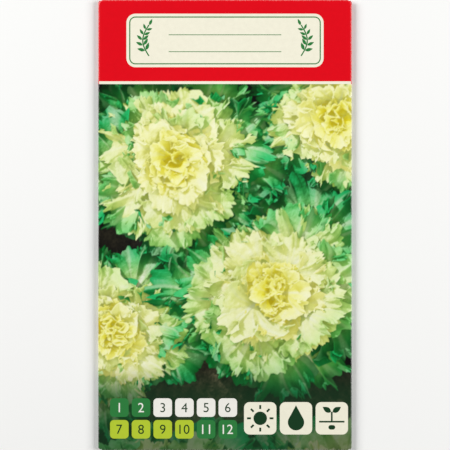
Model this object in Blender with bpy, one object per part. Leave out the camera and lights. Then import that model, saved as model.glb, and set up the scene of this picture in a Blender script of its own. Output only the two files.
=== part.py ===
"""A sealed paper seed packet lying on its back: a folded, glued envelope, a foil sachet in it, and seeds.

+X runs across the packet, +Y up its printed front and +Z out of it. The origin is under the packet's middle,
on the surface that it lies on. All sizes are in metres.
"""

import math
import random

import bmesh
import bpy
from mathutils import Matrix, Vector

# The folded packet, outside to outside, and its paper.
WIDTH = 0.090
HEIGHT = 0.160
PAPER = 0.00016
GLUE_GAP = 0.00008

# The folds, the back lap where the two wings are glued, and the glued flaps at both ends.
SIDE_FOLD_RADIUS = 0.00025
LAP_WIDTH = 0.010
LAP_RISE_START = 0.0092
LAP_RISE_END = 0.0056
FLAP_LENGTH = 0.014
FLAP_INSET = 0.0012
FLAP_TAPER = 0.09
WING_END_GAP = 0.0004

# How the contents fill it out: a flat belly below, on which it lies, and a low dome above.
BELLY_Y = -0.008
BELLY_DEPTH = 0.0013
BELLY_HALF_WIDTH = 0.020
BELLY_HALF_LENGTH = 0.022
DOME_HEIGHT = 0.0023
DOME_HALF_WIDTH = 0.012
DOME_HALF_LENGTH = 0.020
BULGE_EDGE_X = 0.0432
BULGE_EDGE_Y = 0.065
IMPRINT_HEIGHT = 0.00025
IMPRINT_BLUR = 0.004

# The sachet, and the clear gap that it keeps to the paper and to the seeds.
SACHET_WIDTH = 0.056
SACHET_LENGTH = 0.072
FOIL = 0.0002
PIECE_GAP = 0.00034
SEEDS_GAP = 0.00038
SEEDS_DEPTH = 0.0021
SEEDS_HALF_WIDTH = 0.0215
SEEDS_HALF_LENGTH = 0.0300
DOME_POWER = 2.6
CORE_REACH = 0.78
LAST_SEED_REACH = 0.72
CORE_TOP = 0.55

# An escarole seed is a blunt, slightly tapered grain. Its outline is given as shares of its length and width.
SEED_LENGTH = 0.0027
SEED_WIDTH = 0.0009
SEED_FLATNESS = 0.75
SEED_OUTLINE = ((-0.5, 0.25), (0.3, 0.5), (0.5, 0.36))
SEED_SIDES = 5
SEED_SPACING = 0.0036
SEED_JITTER = 0.0007

# How finely the folded sheet and the foil are divided.
SACHET_COLUMN_CELLS = 5
MARGIN_COLUMN_CELLS = 3
WING_CELLS = 7
LAP_CELLS = 2
FOLD_CELLS = 4
UPPER_ROW_CELLS = 4
LOWER_ROW_CELLS = 2
END_ROW_CELLS = 4
FLAP_CELLS = 2
FOIL_COLUMN_CELLS = 14
FOIL_ROW_CELLS = 18
CORE_RINGS = 5
CORE_SPOKES = 20

BACK_EDGE_LEVEL = BELLY_DEPTH + PAPER / 2
FRONT_EDGE_LEVEL = BACK_EDGE_LEVEL + 2 * SIDE_FOLD_RADIUS
FLAP_LEVEL = BACK_EDGE_LEVEL - PAPER - GLUE_GAP
END_FOLD_RADIUS = (FRONT_EDGE_LEVEL - FLAP_LEVEL) / 2
SIDE_REACH = WIDTH / 2 - PAPER / 2 - SIDE_FOLD_RADIUS
END_REACH = HEIGHT / 2 - PAPER / 2 - END_FOLD_RADIUS
FLAP_HALF_WIDTH = WIDTH / 2 - FLAP_INSET
WING_HALF_LENGTH = END_REACH - WING_END_GAP
SACHET_TOP = SACHET_LENGTH / 2 + BELLY_Y
SACHET_FOOT = SACHET_LENGTH / 2 - BELLY_Y


def ease(share):
    """0 below 0 and 1 above 1, with a smooth rise between."""
    share = min(1.0, max(0.0, share))
    return share * share * (3 - 2 * share)


def bulge(x, y, half_width, half_length):
    """1 over the middle of the contents, falling to 0 at the packet's glued edges."""
    along = y - BELLY_Y
    edge = BULGE_EDGE_Y - BELLY_Y if along > 0 else BULGE_EDGE_Y + BELLY_Y
    across_share = max(0.0, abs(x) - half_width) / (BULGE_EDGE_X - half_width)
    along_share = max(0.0, abs(along) - half_length) / (edge - half_length)
    return 1 - ease(math.hypot(across_share, along_share))


def imprint(x, y):
    """1 over the sachet, whose outline shows softly through the paper."""
    across = ease((SACHET_WIDTH / 2 + IMPRINT_BLUR - abs(x)) / IMPRINT_BLUR)
    along = ease((SACHET_LENGTH / 2 + IMPRINT_BLUR - abs(y - BELLY_Y)) / IMPRINT_BLUR)
    return across * along


def back_level(x, y):
    """Height of the middle of the back's paper, which is flat under the belly."""
    return BACK_EDGE_LEVEL - BELLY_DEPTH * bulge(x, y, BELLY_HALF_WIDTH, BELLY_HALF_LENGTH)


def front_level(x, y):
    """Height of the middle of the front's paper."""
    dome = DOME_HEIGHT * bulge(x, y, DOME_HALF_WIDTH, DOME_HALF_LENGTH)
    return FRONT_EDGE_LEVEL + dome + IMPRINT_HEIGHT * imprint(x, y)


def lap_lift(x):
    """How far the left wing climbs onto the right one, where the two are glued."""
    return (PAPER + GLUE_GAP) * ease((x + LAP_RISE_START) / (LAP_RISE_START - LAP_RISE_END))


def around_fold(distance, reach, radius):
    """For a strip that turns over at reach: its folded distance, and 0 on the front to 1 on the back."""
    if distance <= reach:
        return distance, 0.0
    turn = (distance - reach) / radius
    if turn < math.pi:
        return reach + radius * math.sin(turn), (1 - math.cos(turn)) / 2
    return reach - (distance - reach - math.pi * radius), 1.0


def folded_point(across, along):
    """Where a point of the flat sheet, measured from the front's middle, lies once it is folded."""
    from_middle, on_back = around_fold(abs(across), SIDE_REACH, SIDE_FOLD_RADIUS)
    x = math.copysign(1, across) * from_middle
    from_centre, on_flap = around_fold(abs(along), END_REACH, END_FOLD_RADIUS)
    y = math.copysign(from_centre, along)
    if on_flap:
        past_fold = max(0.0, END_REACH - from_centre)
        x *= 1 - FLAP_TAPER * past_fold / FLAP_LENGTH
        return Vector((x, y, FRONT_EDGE_LEVEL + (FLAP_LEVEL - FRONT_EDGE_LEVEL) * on_flap))
    front = front_level(x, y)
    if not on_back:
        return Vector((x, y, front))
    back = back_level(x, y) + (lap_lift(x) if across < 0 else 0.0)
    return Vector((x, y, front + (back - front) * on_back))


def spread(start, end, cells):
    return [start + (end - start) * i / cells for i in range(cells + 1)]


def mirrored(half):
    """Stations on both sides of 0, from those on one side."""
    return [-v for v in reversed(half)] + half[1:]


def column_stations():
    """Where the sheet is divided across its width, in flat distance from the middle of the front."""
    turn_end = SIDE_REACH + math.pi * SIDE_FOLD_RADIUS
    lap_start = turn_end + SIDE_REACH - LAP_RISE_START
    lap_end = turn_end + SIDE_REACH - LAP_RISE_END
    free_end = turn_end + SIDE_REACH + LAP_WIDTH / 2
    half = spread(0, SACHET_WIDTH / 2, SACHET_COLUMN_CELLS)
    half += spread(SACHET_WIDTH / 2 + IMPRINT_BLUR, FLAP_HALF_WIDTH, MARGIN_COLUMN_CELLS)
    half += spread(SIDE_REACH, turn_end, FOLD_CELLS)
    half += spread(turn_end, lap_start, WING_CELLS)[1:]
    half += spread(lap_start, lap_end, LAP_CELLS)[1:]
    half += [free_end]
    return mirrored(half)


def row_stations():
    """Where the sheet is divided along its height."""
    turn_end = END_REACH + math.pi * END_FOLD_RADIUS
    half = spread(0, SACHET_TOP, UPPER_ROW_CELLS)
    half += spread(SACHET_TOP + IMPRINT_BLUR, SACHET_FOOT, LOWER_ROW_CELLS)
    half += spread(SACHET_FOOT + IMPRINT_BLUR, WING_HALF_LENGTH, END_ROW_CELLS)
    half += spread(END_REACH, turn_end, FOLD_CELLS)
    half += spread(turn_end, turn_end + FLAP_LENGTH, FLAP_CELLS)[1:]
    return mirrored(half)


def in_the_sheet(across, along):
    """Whether the sheet, which is cut away beside its wings and flaps, has paper at this flat point."""
    if abs(across) > SIDE_REACH:
        return abs(along) < WING_HALF_LENGTH
    if abs(across) > FLAP_HALF_WIDTH:
        return abs(along) < END_REACH
    return True


def surface_object(name, columns, rows, point, thickness, material, keep=lambda column, row: True):
    """A sheet of even thickness about a surface that is divided at these columns and rows."""
    mesh = bmesh.new()
    made = {}

    def corner(i, j):
        if (i, j) not in made:
            made[i, j] = mesh.verts.new(point(columns[i], rows[j]))
        return made[i, j]

    for i in range(len(columns) - 1):
        for j in range(len(rows) - 1):
            middle_column = (columns[i] + columns[i + 1]) / 2
            middle_row = (rows[j] + rows[j + 1]) / 2
            if keep(middle_column, middle_row):
                mesh.faces.new([corner(i, j), corner(i + 1, j), corner(i + 1, j + 1), corner(i, j + 1)])
    made_object = finished(name, mesh, material)
    solidify = made_object.modifiers.new("thickness", "SOLIDIFY")
    solidify.thickness = thickness
    solidify.offset = 0
    return made_object


def finished(name, mesh, material):
    """A smooth-shaded object made from the edited mesh, in the scene."""
    data = bpy.data.meshes.new(name)
    mesh.to_mesh(data)
    mesh.free()
    data.shade_smooth()
    data.set_sharp_from_angle(angle=math.radians(40))
    data.materials.append(material)
    made_object = bpy.data.objects.new(name, data)
    bpy.context.scene.collection.objects.link(made_object)
    return made_object


def material_of(name, colour, roughness, metallic=0.0):
    material = bpy.data.materials.new(name)
    material.use_nodes = True
    shader = material.node_tree.nodes["Principled BSDF"]
    shader.inputs["Base Color"].default_value = (*colour, 1)
    shader.inputs["Roughness"].default_value = roughness
    shader.inputs["Metallic"].default_value = metallic
    return material


def make_envelope():
    """The one die-cut sheet, with a wing folded behind at each side and a flap folded behind at each end."""
    paper = material_of("printed_paper", (0.62, 0.66, 0.30), 0.45)
    surface_object("envelope", column_stations(), row_stations(), folded_point, PAPER, paper, in_the_sheet)


def seed_dome(x, y):
    """1 at the middle of the seeds, falling to 0 at the sachet's seals."""
    across = (abs(x) / SEEDS_HALF_WIDTH) ** DOME_POWER
    along = (abs(y - BELLY_Y) / SEEDS_HALF_LENGTH) ** DOME_POWER
    return max(0.0, 1 - across - along)


def back_foil_level(x, y):
    """Height of the middle of the rear web, which lies on the lap of the envelope's back."""
    return back_level(x, y) + PAPER / 2 + PAPER + GLUE_GAP + PIECE_GAP + FOIL / 2


def front_foil_level(x, y):
    """Height of the middle of the front web, which lies on the rear one at the seals and on the seeds."""
    return back_foil_level(x, y) + FOIL + PIECE_GAP + (SEEDS_DEPTH + PIECE_GAP) * seed_dome(x, y)


def back_foil_point(x, y):
    return Vector((x, y, back_foil_level(x, y)))


def front_foil_point(x, y):
    return Vector((x, y, front_foil_level(x, y)))


def make_sachet():
    """The two webs of foil, heat-sealed to each other along all four sides."""
    foil = material_of("sachet_foil", (0.78, 0.79, 0.80), 0.32, metallic=1.0)
    columns = spread(-SACHET_WIDTH / 2, SACHET_WIDTH / 2, FOIL_COLUMN_CELLS)
    rows = spread(BELLY_Y - SACHET_LENGTH / 2, BELLY_Y + SACHET_LENGTH / 2, FOIL_ROW_CELLS)
    surface_object("sachet_back", columns, rows, back_foil_point, FOIL, foil)
    surface_object("sachet_front", columns, rows, front_foil_point, FOIL, foil)


def seeds_underside(x, y):
    return back_foil_level(x, y) + FOIL / 2 + SEEDS_GAP


def seeds_room(x, y):
    """The height between the two webs that the seeds can fill."""
    return front_foil_level(x, y) - FOIL / 2 - SEEDS_GAP - seeds_underside(x, y)


def heap_point(x, y, share):
    """A point in the seeds' heap, from share 0 at its underside to 1 at the most that it may rise."""
    return Vector((x, y, seeds_underside(x, y) + share * seeds_room(x, y)))


def make_core(material):
    """The packed inside of the heap, which the outermost seeds stand out of."""
    mesh = bmesh.new()
    bottom, top = [], []
    for ring in range(1, CORE_RINGS + 1):
        reach = CORE_REACH * ring / CORE_RINGS
        lower, upper = [], []
        for spoke in range(CORE_SPOKES):
            angle = 2 * math.pi * spoke / CORE_SPOKES
            x = SEEDS_HALF_WIDTH * reach * math.cos(angle)
            y = BELLY_Y + SEEDS_HALF_LENGTH * reach * math.sin(angle)
            lower.append(mesh.verts.new(heap_point(x, y, 0)))
            upper.append(mesh.verts.new(heap_point(x, y, CORE_TOP)))
        bottom.append(lower)
        top.append(upper)
    lowest = mesh.verts.new(heap_point(0, BELLY_Y, 0))
    highest = mesh.verts.new(heap_point(0, BELLY_Y, CORE_TOP))
    for k in range(CORE_SPOKES):
        n = (k + 1) % CORE_SPOKES
        mesh.faces.new([highest, top[0][k], top[0][n]])
        mesh.faces.new([lowest, bottom[0][n], bottom[0][k]])
        mesh.faces.new([bottom[-1][k], bottom[-1][n], top[-1][n], top[-1][k]])
        for inner in range(CORE_RINGS - 1):
            outer = inner + 1
            mesh.faces.new([top[inner][k], top[outer][k], top[outer][n], top[inner][n]])
            mesh.faces.new([bottom[inner][n], bottom[outer][n], bottom[outer][k], bottom[inner][k]])
    return finished("seeds", mesh, material)


def make_seed(place, heading, material):
    """One seed, narrow at its foot and blunt at its crown, half sunk into the core."""
    mesh = bmesh.new()
    rings = []
    for along, radius in SEED_OUTLINE:
        ring = []
        for side in range(SEED_SIDES):
            angle = 2 * math.pi * side / SEED_SIDES
            across = radius * SEED_WIDTH * math.cos(angle)
            up = SEED_FLATNESS * radius * SEED_WIDTH * math.sin(angle)
            ring.append(mesh.verts.new((along * SEED_LENGTH, across, up)))
        rings.append(ring)
    for first, second in zip(rings, rings[1:]):
        for k in range(SEED_SIDES):
            n = (k + 1) % SEED_SIDES
            mesh.faces.new([first[k], first[n], second[n], second[k]])
    mesh.faces.new(rings[-1])
    mesh.faces.new(list(reversed(rings[0])))
    bmesh.ops.recalc_face_normals(mesh, faces=mesh.faces)
    lay = Matrix.Translation(place) @ Matrix.Rotation(heading, 4, "Z")
    bmesh.ops.transform(mesh, matrix=lay, verts=mesh.verts)
    return finished("seed", mesh, material)


def make_seeds():
    """The seeds, sunk into one another as one body: a packed core under a layer of single seeds."""
    husk = material_of("seed_husk", (0.42, 0.33, 0.21), 0.7)
    core = make_core(husk)
    draw = random.Random(7)
    loose = bpy.data.collections.new("loose_seeds")
    half_rows = int(SEEDS_HALF_LENGTH / SEED_SPACING)
    half_columns = int(SEEDS_HALF_WIDTH / SEED_SPACING)
    for row in range(-half_rows, half_rows + 1):
        for column in range(-half_columns, half_columns + 1):
            x = column * SEED_SPACING + draw.uniform(-SEED_JITTER, SEED_JITTER)
            y = BELLY_Y + row * SEED_SPACING + draw.uniform(-SEED_JITTER, SEED_JITTER)
            heading = draw.uniform(0, math.pi)
            if math.hypot(x / SEEDS_HALF_WIDTH, (y - BELLY_Y) / SEEDS_HALF_LENGTH) > LAST_SEED_REACH:
                continue
            seed = make_seed(heap_point(x, y, CORE_TOP), heading, husk)
            bpy.context.scene.collection.objects.unlink(seed)
            loose.objects.link(seed)
    union = core.modifiers.new("joined", "BOOLEAN")
    union.operation = "UNION"
    union.operand_type = "COLLECTION"
    union.collection = loose
    union.solver = "EXACT"
    graph = bpy.context.evaluated_depsgraph_get()
    joined = bpy.data.meshes.new_from_object(core.evaluated_get(graph))
    core.modifiers.clear()
    core.data = joined
    for seed in list(loose.objects):
        bpy.data.objects.remove(seed)
    bpy.data.collections.remove(loose)


def main():
    for old in list(bpy.data.objects):
        bpy.data.objects.remove(old)
    make_envelope()
    make_sachet()
    make_seeds()


main()
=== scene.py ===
"""The looks of a sealed seed packet, lying on its back and seen from above.

Sizes are in metres, apart from the printed picture and the plain printing, which are in millimetres. "Across"
and "along" are measured on the flat, unfolded sheet from the middle of the packet's front.
"""

import math

import bmesh
import bpy
import numpy as np
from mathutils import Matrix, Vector
from mathutils.bvhtree import BVHTree


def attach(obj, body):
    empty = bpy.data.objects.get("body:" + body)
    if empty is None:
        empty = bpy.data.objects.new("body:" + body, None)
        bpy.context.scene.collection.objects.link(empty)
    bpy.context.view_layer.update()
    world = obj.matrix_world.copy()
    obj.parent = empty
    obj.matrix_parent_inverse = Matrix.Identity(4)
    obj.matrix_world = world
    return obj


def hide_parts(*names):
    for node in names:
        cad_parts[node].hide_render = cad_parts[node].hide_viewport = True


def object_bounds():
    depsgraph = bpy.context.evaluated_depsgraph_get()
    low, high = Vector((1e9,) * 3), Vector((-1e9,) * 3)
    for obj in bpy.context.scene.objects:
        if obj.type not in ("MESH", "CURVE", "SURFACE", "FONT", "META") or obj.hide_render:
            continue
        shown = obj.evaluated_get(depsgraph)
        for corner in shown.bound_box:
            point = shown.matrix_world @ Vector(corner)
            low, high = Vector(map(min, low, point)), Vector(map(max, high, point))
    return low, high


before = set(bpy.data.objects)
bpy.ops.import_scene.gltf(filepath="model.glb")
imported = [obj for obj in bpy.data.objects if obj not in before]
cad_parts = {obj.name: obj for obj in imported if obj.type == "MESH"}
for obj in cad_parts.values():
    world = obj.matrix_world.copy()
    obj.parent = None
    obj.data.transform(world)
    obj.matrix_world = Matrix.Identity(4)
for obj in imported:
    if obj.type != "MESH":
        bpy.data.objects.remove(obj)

cad_box = [list(corner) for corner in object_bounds()]

# The envelope. One die-cut sheet of thin coated paper: its two wings are folded behind and lapped down the
# middle of the back with a line of glue, then the flap at each end is folded over them and glued. The seeds
# push the paper out into a low dome in front and a flat belly behind, on which the packet lies.

MM = 0.001
WIDTH = cad_box[1][0] - cad_box[0][0]
HEIGHT = cad_box[1][1] - cad_box[0][1]
PAPER = 0.09 * MM
# The solids' paper is thicker. The levels and the folds keep to that.
CAD_PAPER = 0.16 * MM
GLUE_GAP = 0.08 * MM
SIDE_FOLD_RADIUS = 0.25 * MM
LAP_HALF_WIDTH = 5 * MM
LAP_RISE_START = 9.2 * MM
LAP_RISE_END = 5.6 * MM
FLAP_LENGTH = 14 * MM
FLAP_INSET = 1.2 * MM
FLAP_TAPER = 0.09
WING_END_GAP = 0.4 * MM

BELLY_Y = -8 * MM
BELLY_DEPTH = 1.3 * MM
BELLY_HALF_WIDTH = 20 * MM
BELLY_HALF_LENGTH = 22 * MM
DOME_HEIGHT = 2.3 * MM
DOME_HALF_WIDTH = 12 * MM
DOME_HALF_LENGTH = 20 * MM
BULGE_EDGE_X = 43.2 * MM
BULGE_EDGE_Y = 65 * MM
SACHET_HALF_WIDTH = 28 * MM
SACHET_HALF_LENGTH = 36 * MM
IMPRINT_HEIGHT = 0.2 * MM
IMPRINT_BLUR = 5 * MM
RIPPLE_HEIGHT = 0.16 * MM
RIPPLE_LENGTH = 17 * MM
RIPPLE_FREE = 8 * MM
FRONT_RIPPLES = 40
BACK_RIPPLES = 90

BACK_EDGE_LEVEL = BELLY_DEPTH + CAD_PAPER / 2
FRONT_EDGE_LEVEL = BACK_EDGE_LEVEL + 2 * SIDE_FOLD_RADIUS
FLAP_LEVEL = BACK_EDGE_LEVEL - CAD_PAPER - GLUE_GAP
END_FOLD_RADIUS = (FRONT_EDGE_LEVEL - FLAP_LEVEL) / 2
SIDE_REACH = WIDTH / 2 - CAD_PAPER / 2 - SIDE_FOLD_RADIUS
END_REACH = HEIGHT / 2 - CAD_PAPER / 2 - END_FOLD_RADIUS
SIDE_TURN_END = SIDE_REACH + math.pi * SIDE_FOLD_RADIUS
END_TURN_END = END_REACH + math.pi * END_FOLD_RADIUS
BACK_MIDDLE = SIDE_TURN_END + SIDE_REACH
FLAP_HALF_WIDTH = WIDTH / 2 - FLAP_INSET
WING_HALF_LENGTH = END_REACH - WING_END_GAP

# Where one flood of ink on the sheet ends and the next begins.
BAND_FOOT = 50 * MM
BACK_BAND_FOOT = 58 * MM
BLEED = 0.9 * MM
BLEED_EDGE = SIDE_TURN_END + BLEED
BLEED_END = END_TURN_END + BLEED

CELL = 1.25 * MM
FOLD_CELLS = 6
LAP_CELLS = 9
WORN_EDGE = 0.35 * MM

LATTICE_SIZE = 256
lattice = np.random.default_rng(5).random((LATTICE_SIZE, LATTICE_SIZE))


def ease(share):
    """0 below 0 and 1 above 1, with a smooth rise between."""
    share = np.clip(share, 0, 1)
    return share * share * (3 - 2 * share)


def mix(first, second, share):
    return first + (second - first) * share


def ripple(x, y):
    """Smooth random waves from 0 to 1, one unit long."""
    column, row = np.floor(x).astype(int), np.floor(y).astype(int)
    this, following = column % LATTICE_SIZE, (column + 1) % LATTICE_SIZE
    rows = row % LATTICE_SIZE, (row + 1) % LATTICE_SIZE
    lower, upper = (mix(lattice[this, at], lattice[following, at], ease(x - column)) for at in rows)
    return mix(lower, upper, ease(y - row))


def bulge(x, y, half_width, half_length):
    """1 over the middle of the contents, falling to 0 at the packet's glued edges."""
    along = y - BELLY_Y
    edge = np.where(along > 0, BULGE_EDGE_Y - BELLY_Y, BULGE_EDGE_Y + BELLY_Y)
    across_share = np.maximum(0, np.abs(x) - half_width) / (BULGE_EDGE_X - half_width)
    along_share = np.maximum(0, np.abs(along) - half_length) / (edge - half_length)
    return 1 - ease(np.hypot(across_share, along_share))


def imprint(x, y):
    """1 over the sachet, whose outline shows softly through the paper."""
    across = ease((SACHET_HALF_WIDTH + IMPRINT_BLUR - np.abs(x)) / IMPRINT_BLUR)
    along = ease((SACHET_HALF_LENGTH + IMPRINT_BLUR - np.abs(y - BELLY_Y)) / IMPRINT_BLUR)
    return across * along


def slack_paper(x, y, shift):
    """Height of the paper's ripples, which die out towards the folds, where it is creased and glued.

    The shift says which stretch of the random waves a panel takes.
    """
    slack = ease((SIDE_REACH - np.abs(x)) / RIPPLE_FREE) * ease((END_REACH - np.abs(y)) / RIPPLE_FREE)
    return RIPPLE_HEIGHT * ripple(x / RIPPLE_LENGTH + shift, y / RIPPLE_LENGTH + shift) * slack


def front_level(x, y):
    """Height of the middle of the front's paper."""
    dome = DOME_HEIGHT * bulge(x, y, DOME_HALF_WIDTH, DOME_HALF_LENGTH)
    return FRONT_EDGE_LEVEL + dome + IMPRINT_HEIGHT * imprint(x, y) - slack_paper(x, y, FRONT_RIPPLES)


def back_level(x, y):
    """Height of the middle of the back's paper, which is flat under the belly."""
    belly = bulge(x, y, BELLY_HALF_WIDTH, BELLY_HALF_LENGTH)
    return BACK_EDGE_LEVEL - BELLY_DEPTH * belly + slack_paper(x, y, BACK_RIPPLES) * (1 - belly)


def around_fold(distance, reach, radius):
    """For a strip that turns over at reach: its folded distance, and the angle that it has turned by."""
    turn = np.clip((distance - reach) / radius, 0, math.pi)
    past = np.maximum(0, distance - reach - math.pi * radius)
    return np.minimum(distance, reach) + radius * np.sin(turn) - past, turn


def folded(across, along, out=0.0):
    """Where points of the flat sheet lie in the packet, out metres off the paper's middle to its print."""
    from_middle, side_turn = around_fold(np.abs(across), SIDE_REACH, SIDE_FOLD_RADIUS)
    from_centre, end_turn = around_fold(np.abs(along), END_REACH, END_FOLD_RADIUS)
    x = np.sign(across) * from_middle
    y = np.sign(along) * from_centre
    past_fold = np.where(end_turn > 0, np.maximum(0, END_REACH - from_centre), 0)
    x = x * (1 - FLAP_TAPER * past_fold / FLAP_LENGTH)
    front = front_level(x, y)
    lift = ease((x + LAP_RISE_START) / (LAP_RISE_START - LAP_RISE_END)) * (across < 0)
    back = back_level(x, y) + (CAD_PAPER + GLUE_GAP) * lift
    on_back = (1 - np.cos(side_turn)) / 2
    on_flap = (1 - np.cos(end_turn)) / 2
    panel = mix(front, back, on_back)
    flap = mix(FRONT_EDGE_LEVEL, FLAP_LEVEL, on_flap)
    z = np.where(end_turn > 0, flap, panel) + out * np.cos(side_turn) * np.cos(end_turn)
    x = x + np.sign(across) * out * np.sin(side_turn)
    y = y + np.sign(along) * out * np.sin(end_turn)
    return np.stack((x, y, z), -1)


def wear(across, along):
    """1 on the crests of the folds, where handling cracks the ink, and 0 a little way off them."""
    off_side = np.maximum(SIDE_REACH - np.abs(across), np.abs(across) - SIDE_TURN_END)
    off_end = np.maximum(END_REACH - np.abs(along), np.abs(along) - END_TURN_END)
    return np.exp(-np.maximum(0, np.minimum(off_side, off_end)) / WORN_EDGE)


def spread(start, end, cells):
    """Stations that part a stretch into equal cells."""
    return list(np.linspace(start, end, cells + 1))


def stations(*stops, cell=CELL):
    """Stations about a cell apart that include each stop."""
    places = [stops[0]]
    for start, end in zip(stops, stops[1:]):
        places += spread(start, end, max(1, round((end - start) / cell)))[1:]
    return places


def both_sides(half):
    """The stations of one half, which start at 0, and the same on the other side of it."""
    return np.array([-place for place in reversed(half)] + half[1:])


def linear(code):
    """The linear colour of an sRGB hex code."""
    levels = np.array([int(code[k : k + 2], 16) for k in (1, 3, 5)]) / 255
    return np.where(levels <= 0.04045, levels / 12.92, ((levels + 0.055) / 1.055) ** 2.4)


def set_inputs(node, inputs):
    """Gives a shader node's inputs their values: a hex code, numbers, or another node's output to link."""
    for name, value in inputs.items():
        if isinstance(value, bpy.types.NodeSocket):
            node.id_data.links.new(value, node.inputs[name])
        elif isinstance(value, str):
            node.inputs[name].default_value = (*linear(value), 1)
        else:
            node.inputs[name].default_value = value


def add_node(tree, kind, inputs=None, **settings):
    """Adds a shader node of a kind, such as Bump, with its settings and inputs."""
    node = tree.nodes.new("ShaderNode" + kind)
    for name, value in settings.items():
        setattr(node, name, value)
    set_inputs(node, inputs or {})
    return node


def new_material(name):
    """A new material, its node tree and its Principled shader."""
    material = bpy.data.materials.new(name)
    material.use_nodes = True
    tree = material.node_tree
    tree.nodes.clear()
    shader = add_node(tree, "BsdfPrincipled")
    add_node(tree, "OutputMaterial", {"Surface": shader.outputs[0]})
    return material, tree, shader


PAPER_WHITE = "#F6F4EC"
FIBRE_LENGTH = 0.9 * MM
CRACK_SIZE = 0.5 * MM
COATING_GRAIN = 0.35 * MM
VARNISH_ROUGHNESS = 0.28


def art_paper(name, code=None):
    """Art paper, clay-coated, printed by offset and sealed with a thin gloss varnish.

    The clay makes it smooth, so it shines softly, with a faint orange peel. Ink lies unevenly on the fibres
    below, which mottles a flat colour by a few hundredths, and it cracks to white paper along the folds.
    With no code the colour is the printed picture's, which the film carries as an attribute.
    """
    material, tree, shader = new_material(name)
    place = add_node(tree, "TexCoord").outputs["Object"]
    if code:
        ink = linear(code)
    else:
        ink = add_node(tree, "VertexColor", layer_name="print").outputs["Color"]
    mottle = add_node(
        tree, "TexNoise", {"Vector": place, "Scale": 1 / (2 * FIBRE_LENGTH), "Detail": 4.0, "Roughness": 0.65}
    )
    strength = add_node(tree, "MapRange", {"Value": mottle.outputs["Fac"], "To Min": 0.93, "To Max": 1.07})
    mottled = add_node(tree, "VectorMath", {0: ink, "Scale": strength.outputs[0]}, operation="SCALE")
    fold = add_node(tree, "Attribute", attribute_name="wear")
    flecks = add_node(
        tree, "TexNoise", {"Vector": place, "Scale": 1 / CRACK_SIZE, "Detail": 3.0, "Roughness": 0.7}
    )
    cracked = add_node(tree, "Math", {0: fold.outputs["Fac"], 1: flecks.outputs["Fac"]}, operation="MULTIPLY")
    bared = add_node(
        tree, "MapRange", {"Value": cracked.outputs[0], "From Min": 0.44, "From Max": 0.72, "To Max": 0.2}
    )
    colour = add_node(
        tree, "Mix", {0: bared.outputs[0], 6: mottled.outputs[0], 7: PAPER_WHITE}, data_type="RGBA"
    )
    peel = add_node(tree, "TexNoise", {"Vector": place, "Scale": 1 / COATING_GRAIN})
    bump = add_node(tree, "Bump", {"Height": peel.outputs["Fac"], "Strength": 0.12, "Distance": 0.01 * MM})
    set_inputs(shader, {"Base Color": colour.outputs[2], "Normal": bump.outputs[0]})
    set_inputs(shader, {"Roughness": VARNISH_ROUGHNESS, "IOR": 1.5})
    return material


def raw_paper(name):
    """The sheet's inner face and its cut edges: bare wood-free paper, matt and slightly fibrous."""
    material, tree, shader = new_material(name)
    place = add_node(tree, "TexCoord").outputs["Object"]
    fibres = add_node(
        tree, "TexNoise", {"Vector": place, "Scale": 1 / FIBRE_LENGTH, "Detail": 6.0, "Roughness": 0.7}
    )
    tone = add_node(tree, "Mix", {0: fibres.outputs["Fac"], 6: "#E4E0D4", 7: "#F8F6F0"}, data_type="RGBA")
    bump = add_node(tree, "Bump", {"Height": fibres.outputs["Fac"], "Strength": 0.3, "Distance": 0.02 * MM})
    set_inputs(shader, {"Base Color": tone.outputs[2], "Normal": bump.outputs[0], "Roughness": 0.85})
    return material


RED = "#E50016"
DEEP_GREEN = "#153C20"
LEAF_GREEN = "#2F7F3F"
LIME = "#B9CF35"
CREAM = "#F7F3DE"
SOIL = "#15170F"

red_flood = art_paper("red_ink_on_art_paper", RED)
green_flood = art_paper("green_ink_on_art_paper", DEEP_GREEN)
soil_flood = art_paper("dark_ink_on_art_paper", SOIL)
back_flood = art_paper("cream_ink_on_art_paper", CREAM)
bare_paper = raw_paper("uncoated_paper")
FLOODS = [soil_flood, red_flood, green_flood, back_flood, bare_paper]
BARE = FLOODS.index(bare_paper)


def flood_at(across, along):
    """Which ink covers this place on the sheet's printed side."""
    behind = abs(across) > BLEED_EDGE
    if along > (BACK_BAND_FOOT if behind else BAND_FOOT):
        return FLOODS.index(red_flood)
    if along < (-BACK_BAND_FOOT if behind else -BLEED_END):
        return FLOODS.index(green_flood)
    return FLOODS.index(back_flood if behind else soil_flood)


def in_the_sheet(across, along):
    """Whether the sheet, which is cut away beside its wings and flaps, has paper here."""
    if abs(across) > SIDE_REACH:
        return abs(along) < WING_HALF_LENGTH
    if abs(across) > FLAP_HALF_WIDTH:
        return abs(along) < END_REACH
    return True


def grid_faces(shape):
    """The faces of a grid of points, listed row by row."""
    index = np.arange(math.prod(shape)).reshape(shape)
    corners = index[:-1, :-1], index[1:, :-1], index[1:, 1:], index[:-1, 1:]
    return np.stack(corners, -1).reshape(-1, 4).tolist()


def new_mesh(name, points, faces, materials):
    mesh = bpy.data.meshes.new(name)
    mesh.from_pydata(np.asarray(points).tolist(), [], faces)
    for material in materials:
        mesh.materials.append(material)
    return mesh


def sheet_part(name, columns, rows, materials, out=0.0):
    """A mesh of the folded sheet between these stations, out metres off the middle of the paper.

    It carries its wear. With it come its points' and its faces' places on the flat sheet.
    """
    places = np.stack(np.meshgrid(columns, rows, indexing="ij"), -1)
    middles = ((places[:-1, :-1] + places[1:, 1:]) / 2).reshape(-1, 2)
    kept = [in_the_sheet(*middle) for middle in middles]
    used, corners = np.unique(np.array(grid_faces(places.shape[:2]))[kept], return_inverse=True)
    places = places.reshape(-1, 2)[used]
    mesh = new_mesh(name, folded(*places.T, out), corners.reshape(-1, 4).tolist(), materials)
    mesh.attributes.new("wear", "FLOAT", "POINT").data.foreach_set("value", wear(*places.T))
    return mesh, places, middles[kept]


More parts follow.
